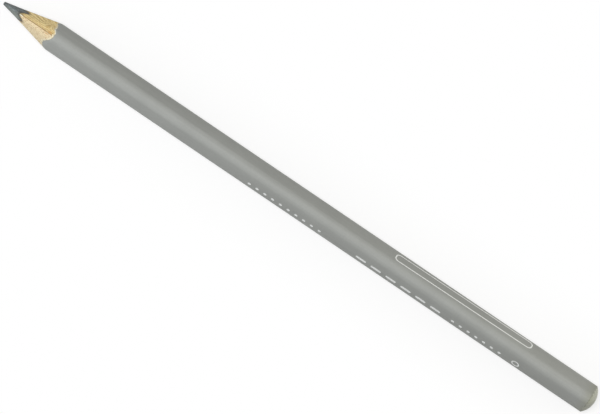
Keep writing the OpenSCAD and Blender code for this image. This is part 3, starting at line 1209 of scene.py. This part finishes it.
def addCore():
    ring = np.linspace(0, wholeTurn, core["columns"], endpoint=False)
    capDepth = core["capDepth"] * mm
    share = (tipX + capDepth - apexX) / (runOutX - apexX)
    groundReach = pointReach(ring) * share
    swing = np.linspace(0, np.radians(core["capSwing"]), core["capRows"])[:, None]
    capX = tipX + capDepth * (1 - np.cos(swing)) / (1 - np.cos(swing[-1])) + 0 * ring
    row = np.linspace(0, 1, core["faceRows"])[1:, None]
    faceReach = groundReach + (coreReach - groundReach) * row
    faceX = pointPlace(ring, faceReach)
    faceReach = faceReach + core["wear"] * mm * (1 - row)
    capReach = (groundReach + core["wear"] * mm) * np.sin(swing) / np.sin(swing[-1])
    tailRow = np.full((1, len(ring)), tailX)
    x = np.concatenate([capX, faceX, tailRow, tailRow])
    reach = np.concatenate([capReach, faceReach, 0 * tailRow + coreReach, 0 * tailRow])
    addPiece("pigmentCore", [aroundAxis(x, ring, reach)], False, True, waxCore(), "core")


addCore()


# The tail: the barrel's section shrinks towards the crown as the sine of the angle along an arc,
# and moves along X as its cosine.
tail = {
    "rows": 28,
    "columns": 360,
}


def addTail():
    ring = np.linspace(0, wholeTurn, tail["columns"], endpoint=False)
    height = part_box("end_dip")[1].x - tailX
    halfWidth = (coatHigh.y - coatLow.y) / 2
    arcRadius = (halfWidth**2 + height**2) / (2 * height)
    edge = np.arcsin(halfWidth / arcRadius)
    swing = np.linspace(edge, 0, tail["rows"])[:, None]
    domeX = tailX + arcRadius * (np.cos(swing) - np.cos(edge)) + 0 * ring
    domeReach = barrelReach(ring) * np.sin(swing) / np.sin(edge)
    x = np.concatenate([domeX[:1], domeX])
    reach = np.concatenate([0 * domeReach[:1], domeReach])
    addPiece("endDip", [aroundAxis(x, ring, reach)], False, True, dipLacquer(), "end_dip")


addTail()


# Foil lies on the two upper flats, a hair above the coat.
foil = {
    "lift": 0.002,
    "thickness": 0.012,
    "lineWidth": 0.37,
    "steps": 12,  # on each side and each corner of an outline
}
foilLow = foil["lift"] * mm
foilHigh = foilLow + foil["thickness"] * mm
whiteFoil = pigmentFoil()


# Outline of a plate with round corners, as places along and across a flat: half of it is an end, a
# corner, a side and a corner, and the other half is the same with both signs changed.
def roundPlate(halfLength, halfWidth, radius):
    step = np.linspace(-1, 1, foil["steps"])
    swing = np.linspace(0, quarterTurn, foil["steps"])
    straight, rise = halfLength - radius, halfWidth - radius
    arcCos, arcSin = radius * np.cos(swing), radius * np.sin(swing)
    along = [halfLength + 0 * step, straight + arcCos, -straight * step, -straight - arcSin]
    across = [rise * step, rise + arcSin, halfWidth + 0 * step, rise + arcCos]
    along, across = np.concatenate(along), np.concatenate(across)
    return np.concatenate([along, -along]), np.concatenate([across, -across])


# Places along and across the flat, the latter towards the ridge, and heights above it, as points.
# The side is 1 for the flat that faces +Y and -1 for the other.
def onFlat(side, along, across, height):
    outward = np.sqrt(crownRadius**2 - across**2) - crownBehind + height
    y = side * (outward * np.sin(sixthTurn) - across * np.cos(sixthTurn))
    z = axisHeight + outward * np.cos(sixthTurn) + across * np.sin(sixthTurn)
    return np.stack(np.broadcast_arrays(along, y, z), axis=-1)


# Outlines at their heights above the flat, moved to a place on it, as rows of points
def foilGrid(side, outlines, place):
    middleAlong, middleAcross = place
    rows = []
    for (along, across), height in outlines:
        rows.append(onFlat(side, middleAlong + along, middleAcross + across, height))
    return np.stack(rows)


# A film between an outer and an inner outline, as rows: outer foot, outer top, inner top, inner foot
def filmGrid(side, outer, inner, place):
    outlines = [(outer, foilLow), (outer, foilHigh), (inner, foilHigh), (inner, foilLow)]
    return foilGrid(side, outlines, place)


# A filled film, as rows from the middle of its top over its rim to the middle of its foot
def patchGrid(side, rim, place):
    middle = tuple(0 * axis for axis in rim)
    outlines = [(middle, foilHigh), (rim, foilHigh), (rim, foilLow), (middle, foilLow)]
    return foilGrid(side, outlines, place)


# The frame for a name is a plate's outline, stamped very slightly askew.
nameFrame = {
    "side": 1,
    "margin": 0.2,  # to the edges of its flat
    "corner": 1.2,
    "askew": 0.7,  # degrees
    "shift": (-0.12, 0.02),  # along and across, where the stamp fell
}


def addNameFrame():
    low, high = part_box("name_frame")
    line = foil["lineWidth"] * mm
    corner = nameFrame["corner"] * mm
    halfLength = (high.x - low.x) / 2
    halfWidth = cornerCentre * np.cos(twelfthTurn) - nameFrame["margin"] * mm
    askew = np.tan(np.radians(nameFrame["askew"]))
    outlines = []
    for inset in (0, line):
        along, across = roundPlate(halfLength - inset, halfWidth - inset, corner - inset)
        outlines.append((along, across - along * askew))
    shiftAlong, shiftAcross = nameFrame["shift"]
    place = ((low.x + high.x) / 2 + shiftAlong * mm, shiftAcross * mm)
    grid = filmGrid(nameFrame["side"], *outlines, place)
    addPiece("nameFrame", [grid], True, True, whiteFoil, "name_frame")


# Generic marks on the other flat, from the tail towards the point: a ring, dots, dashes and dots
marks = {
    "side": -1,
    "ringWidth": 2.2,
    "width": 0.9,  # of dots and dashes
    "dashLength": 3,
    "gap": 1.4,
    "groupGap": 3.2,
    "frontGap": 10.4,
    "rearDots": 7,
    "dashes": 6,
    "frontDots": 10,
    "belowMiddle": 0.65,
}


def addMarks():
    across = -marks["belowMiddle"] * mm
    radius = marks["width"] / 2 * mm
    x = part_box("foil_marks")[1].x
    ringRadius = marks["ringWidth"] / 2 * mm
    line = foil["lineWidth"] * mm
    ringShape = [roundPlate(size, size, size) for size in (ringRadius, ringRadius - line)]
    x -= ringRadius
    ringGrid = filmGrid(marks["side"], *ringShape, (x, across))
    x -= ringRadius + marks["groupGap"] * mm
    grids = []
    rows = [
        (marks["rearDots"], marks["width"], marks["groupGap"]),
        (marks["dashes"], marks["dashLength"], marks["frontGap"]),
        (marks["frontDots"], marks["width"], 0),
    ]
    for count, length, gapAfter in rows:
        outline = roundPlate(length / 2 * mm, radius, radius)
        for i in range(count):
            middle = x - (length / 2 + i * (length + marks["gap"])) * mm
            grids.append(patchGrid(marks["side"], outline, (middle, across)))
        x -= (count * length + (count - 1) * marks["gap"] + gapAfter) * mm
    addPiece("dotsAndDashes", grids, False, True, whiteFoil, "foil_marks")
    addPiece("ringMark", [ringGrid], True, True, whiteFoil, "foil_marks")


addNameFrame()
addMarks()


# White table, white all round, a soft lamp at each side of the picture and one overhead
studio = {
    "table": 12000,
    "drop": 0.02,  # the table lies this far under the pencil
    "seenColour": "#ffffff",  # what a ray from the camera meets, on the table and past it
    "bounceColour": "#b4b4b2",  # what the table throws back on the pencil
    "shadowShare": 0.3,  # how much of the table's own shading is seen next to the pencil
    "shadowReach": (3, 22),  # from a line under the pencil, where that fades out
    "shadowLine": 80,  # half the length of that line
    "ambient": 0.165,  # light from all round
}
# Places are from the middle of the pencil, and power is in watts.
lamps = {
    "leftLamp": {"place": (-207, -140, 90), "size": 160, "power": 0.143, "colour": "#f6f9ff"},
    "rightLamp": {"place": (207, 140, 90), "size": 160, "power": 0.107, "colour": "#fff8e4"},
    "topLamp": {"place": (-143, 0, 900), "size": 500, "power": 5.9, "colour": "#ffffff"},
}


# One where a ray comes from the camera, a mirror or glass, which all see the white surroundings
def seenDirectly(tree):
    path = addNode(tree, "ShaderNodeLightPath").outputs
    seen = addNode(tree, "ShaderNodeMath", {
        0: path["Is Camera Ray"], 1: path["Is Glossy Ray"],
    }, operation="MAXIMUM")
    return addNode(tree, "ShaderNodeMath", {
        0: seen.outputs[0], 1: path["Is Transmission Ray"],
    }, operation="MAXIMUM").outputs[0]


def addTable():
    half = studio["table"] / 2 * mm
    mesh = bpy.data.meshes.new("table")
    corners = [(-half, -half), (half, -half), (half, half), (-half, half)]
    mesh.from_pydata([(x, y, -studio["drop"] * mm) for x, y in corners], [], [(0, 1, 2, 3)])
    table = bpy.data.objects.new("table", mesh)
    bpy.context.scene.collection.objects.link(table)
    material = bpy.data.materials.new("whitePaperRolled")
    tree = emptyTree(material)
    seen = seenDirectly(tree)
    place = addNode(tree, "ShaderNodeTexCoord").outputs["Object"]
    # Distance from a line under the pencil: how far past its ends along X, and how far beside it
    fromMiddle = addNode(tree, "ShaderNodeVectorMath", {0: place}, operation="ABSOLUTE")
    pastEnds = addNode(tree, "ShaderNodeVectorMath", {
        0: fromMiddle.outputs["Vector"], 1: (studio["shadowLine"] * mm, 0, 0),
    }, operation="SUBTRACT")
    fromLine = addNode(tree, "ShaderNodeVectorMath", {0: pastEnds.outputs["Vector"]}, operation="MAXIMUM")
    distance = addNode(tree, "ShaderNodeVectorMath", {0: fromLine.outputs["Vector"]}, operation="LENGTH")
    fadeStart, fadeEnd = studio["shadowReach"]
    whiteness = addNode(tree, "ShaderNodeMapRange", {
        "Value": distance.outputs["Value"],
        "From Min": fadeStart * mm,
        "From Max": fadeEnd * mm,
        "To Min": 1 - studio["shadowShare"],
    }, interpolation_type="SMOOTHSTEP")
    whiteShare = addNode(tree, "ShaderNodeMath", {
        0: seen, 1: whiteness.outputs["Result"],
    }, operation="MULTIPLY")
    tone = addNode(tree, "ShaderNodeMix", {
        mixFactor: seen,
        mixA: linear(studio["bounceColour"]),
        mixB: linear(studio["seenColour"]),
    }, data_type="RGBA")
    paper = addNode(tree, "ShaderNodeBsdfDiffuse", {"Color": tone.outputs[mixResult]})
    white = addNode(tree, "ShaderNodeEmission", {"Strength": 1})  # a strength of 1 is white
    mixed = addNode(tree, "ShaderNodeMixShader", {
        0: whiteShare.outputs[0], 1: paper.outputs["BSDF"], 2: white.outputs["Emission"],
    })
    addNode(tree, "ShaderNodeOutputMaterial", {"Surface": mixed.outputs["Shader"]})
    mesh.materials.append(material)


def addWorld():
    world = bpy.data.worlds.new("whiteRoom")
    bpy.context.scene.world = world
    tree = emptyTree(world)
    strength = addNode(tree, "ShaderNodeMapRange", {
        "Value": seenDirectly(tree), "To Min": studio["ambient"], "To Max": 1,
    })
    background = addNode(tree, "ShaderNodeBackground", {
        "Color": linear(studio["seenColour"]), "Strength": strength.outputs["Result"],
    })
    addNode(tree, "ShaderNodeOutputWorld", {"Surface": background.outputs["Background"]})


def addLamps():
    for name, lamp in lamps.items():
        light = bpy.data.lights.new(name, "AREA")
        light.shape = "DISK"
        light.size = lamp["size"] * mm
        light.energy = lamp["power"]
        light.color = linear(lamp["colour"])[:3]
        holder = bpy.data.objects.new(name, light)
        holder.location = Vector(lamp["place"]) * mm
        holder.rotation_euler = holder.location.to_track_quat("Z", "Y").to_euler()
        holder.visible_camera = False
        bpy.context.scene.collection.objects.link(holder)


addTable()
addWorld()
addLamps()
bpy.context.scene.view_settings.view_transform = "Standard"
print("studio lit")
